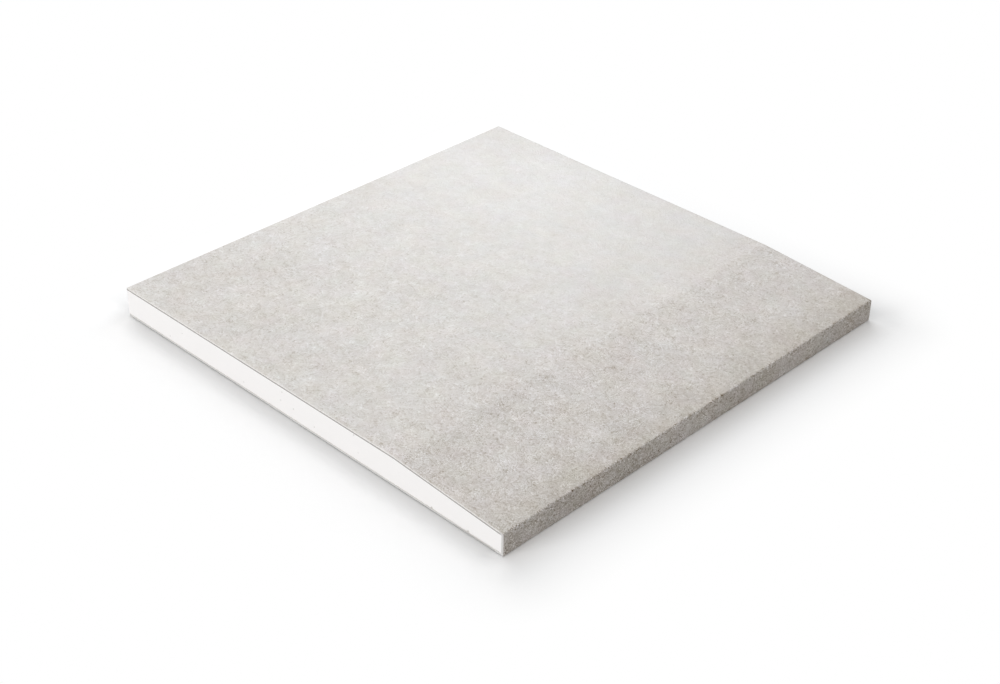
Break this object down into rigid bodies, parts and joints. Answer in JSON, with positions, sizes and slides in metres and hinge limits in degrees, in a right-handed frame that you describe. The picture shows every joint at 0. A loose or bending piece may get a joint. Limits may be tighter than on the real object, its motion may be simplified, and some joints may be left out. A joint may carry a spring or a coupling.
{
  "type": "drywall sheet",
  "caption": "Square cut sample of drywall sheet: gypsum core between face and back papers, with a tapered bound edge wrapped in the face paper and bare core at the cut edges.",
  "frame": {"origin": "middle of the back face, on the plane the sheet lies on", "axes": "+Z out of the front face, +X towards the tapered bound edge, +Y along the bound edge"},
  "size_m": [0.2, 0.2, 0.0125],
  "materials": {
    "gypsum": "chalky, matt",
    "face_paper": "matt, fibrous",
    "back_paper": "matt, fibrous"
  },
  "bodies": {
    "root": {"gypsum_core": "gypsum", "face_paper": "face_paper", "back_paper": "back_paper"}
  },
  "joints": []
}
